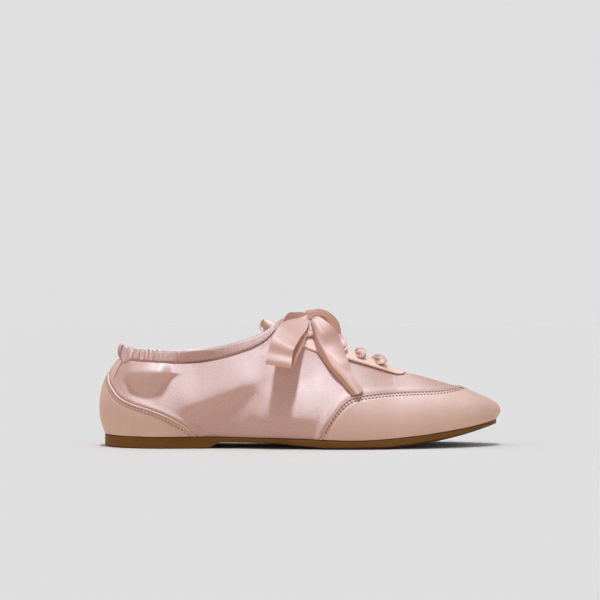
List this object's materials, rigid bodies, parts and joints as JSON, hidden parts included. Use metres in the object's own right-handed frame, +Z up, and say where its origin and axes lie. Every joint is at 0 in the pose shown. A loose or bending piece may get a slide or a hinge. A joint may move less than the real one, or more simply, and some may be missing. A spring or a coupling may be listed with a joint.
{
  "type": "ballet sneaker",
  "caption": "Slim low ballet sneaker for the right foot: soft satin upper, leather toe cap and heel counter, gathered collar, ribbon lacing tied in a bow, thin gum sole.",
  "frame": {"origin": "on the floor under the middle of the shoe's box, bow left out", "axes": "+X from heel to toe, -Y towards the outer (lateral) side of this right shoe, +Z up"},
  "size_m": [0.2555, 0.0896, 0.0864],
  "materials": {
    "satin": "soft pink satin with a fine weave and a broad sheen",
    "leather": "matte peach leather with a very fine grain",
    "ribbon": "pale pink satin ribbon, smooth and lustrous",
    "lining": "matte blush textile lining",
    "gum_rubber": "semi-matte brown gum rubber",
    "eyelet_metal": "dull dark brass"
  },
  "bodies": {
    "root": {"upper": "satin", "heel_tape": "satin", "collar_binding": "satin", "toe_cap": "leather", "heel_counter": "leather", "eyestay": "leather", "tongue": "leather", "lace_bar_1": "ribbon", "lace_bar_2": "ribbon", "lace_bar_3": "ribbon", "lace_bar_4": "ribbon", "lace_bar_5": "ribbon", "bow_knot": "ribbon", "bow_loop_lateral": "ribbon", "bow_loop_medial": "ribbon", "bow_tail_lateral": "ribbon", "bow_tail_medial": "ribbon", "insole": "lining", "outsole": "gum_rubber", "eyelet_lateral_1": "eyelet_metal", "eyelet_lateral_2": "eyelet_metal", "eyelet_lateral_3": "eyelet_metal", "eyelet_lateral_4": "eyelet_metal", "eyelet_lateral_5": "eyelet_metal", "eyelet_medial_1": "eyelet_metal", "eyelet_medial_2": "eyelet_metal", "eyelet_medial_3": "eyelet_metal", "eyelet_medial_4": "eyelet_metal", "eyelet_medial_5": "eyelet_metal"}
  },
  "joints": []
}
